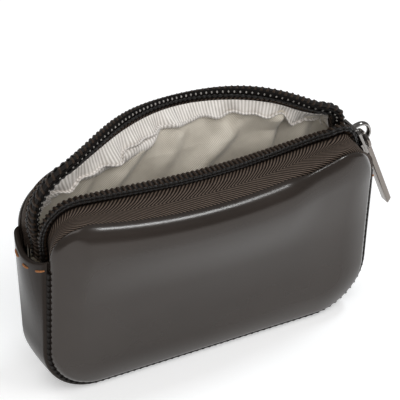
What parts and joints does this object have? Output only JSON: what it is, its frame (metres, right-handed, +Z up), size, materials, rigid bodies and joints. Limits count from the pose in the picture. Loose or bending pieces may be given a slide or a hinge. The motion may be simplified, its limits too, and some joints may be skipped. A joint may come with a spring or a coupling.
{
  "type": "coin purse",
  "caption": "Small padded leather coin purse with a wrapped gusset, lined pocket and coil zip across the top, shown open with slider and puller at one end.",
  "frame": {"origin": "middle of the flat underside of the gusset, on which the purse stands", "axes": "+X along the width towards the slider at rest, +Y from the front face to the back face, +Z up"},
  "size_m": [0.1273, 0.0403, 0.0803],
  "materials": {
    "leather": "smooth semi-gloss dark brown leather",
    "padding": "thin foam wadding, hidden",
    "board": "hidden fibreboard stiffener",
    "lining": "beige grey twill",
    "seam_thread": "waxed dark thread",
    "end_thread": "tan thread",
    "tape": "dark brown herringbone tape",
    "binding": "pale ribbed grosgrain ribbon",
    "coil": "dark brown nylon filament",
    "cord": "dark polyester cord",
    "nickel": "satin nickel plate"
  },
  "bodies": {
    "purse": {"gusset": "leather", "front_panel": "leather", "back_panel": "leather", "front_padding": "padding", "back_padding": "padding", "base_board": "board", "front_lining": "lining", "back_lining": "lining", "gusset_lining": "lining", "front_seam_stitches": "seam_thread", "back_seam_stitches": "seam_thread", "left_end_stitches": "end_thread", "right_end_stitches": "end_thread"},
    "front_mouth": {"front_tape": "tape", "front_binding": "binding", "front_coil": "coil", "front_coil_core": "cord"},
    "back_mouth": {"back_tape": "tape", "back_binding": "binding", "back_coil": "coil", "back_coil_core": "cord"},
    "slider": {"slider_body": "nickel", "slider_bridge": "nickel"},
    "puller": {"puller": "nickel"}
  },
  "joints": [
    {"name": "slider_travel", "type": "hinge", "parent": "purse", "child": "slider", "pos_m": [-0.00011, 0, 0.00004], "axis": [0, -1, 0], "range_deg": [0, 77]},
    {"name": "back_fold", "type": "hinge", "parent": "purse", "child": "back_mouth", "pos_m": [0, 0.013, 0.066], "axis": [1, 0, 0], "range_deg": [0, 117], "deforming": ["back_tape", "back_binding", "back_coil", "back_coil_core"]},
    {"name": "front_close", "type": "hinge", "parent": "purse", "child": "front_mouth", "pos_m": [0, -0.009, 0.008], "axis": [-1, 0, 0], "range_deg": [0, 3.2], "deforming": ["front_tape", "front_binding", "front_coil", "front_coil_core"]},
    {"name": "puller_swing", "type": "hinge", "parent": "slider", "child": "puller", "pos_m": [0.05842, 0, 0.05983], "axis": [0, -1, 0], "range_deg": [0, 150]}
  ],
  "couplings": [
    {"joint": "back_fold", "follows": "slider_travel", "ratio": 1.5194},
    {"joint": "front_close", "follows": "slider_travel", "ratio": 0.0415}
  ]
}
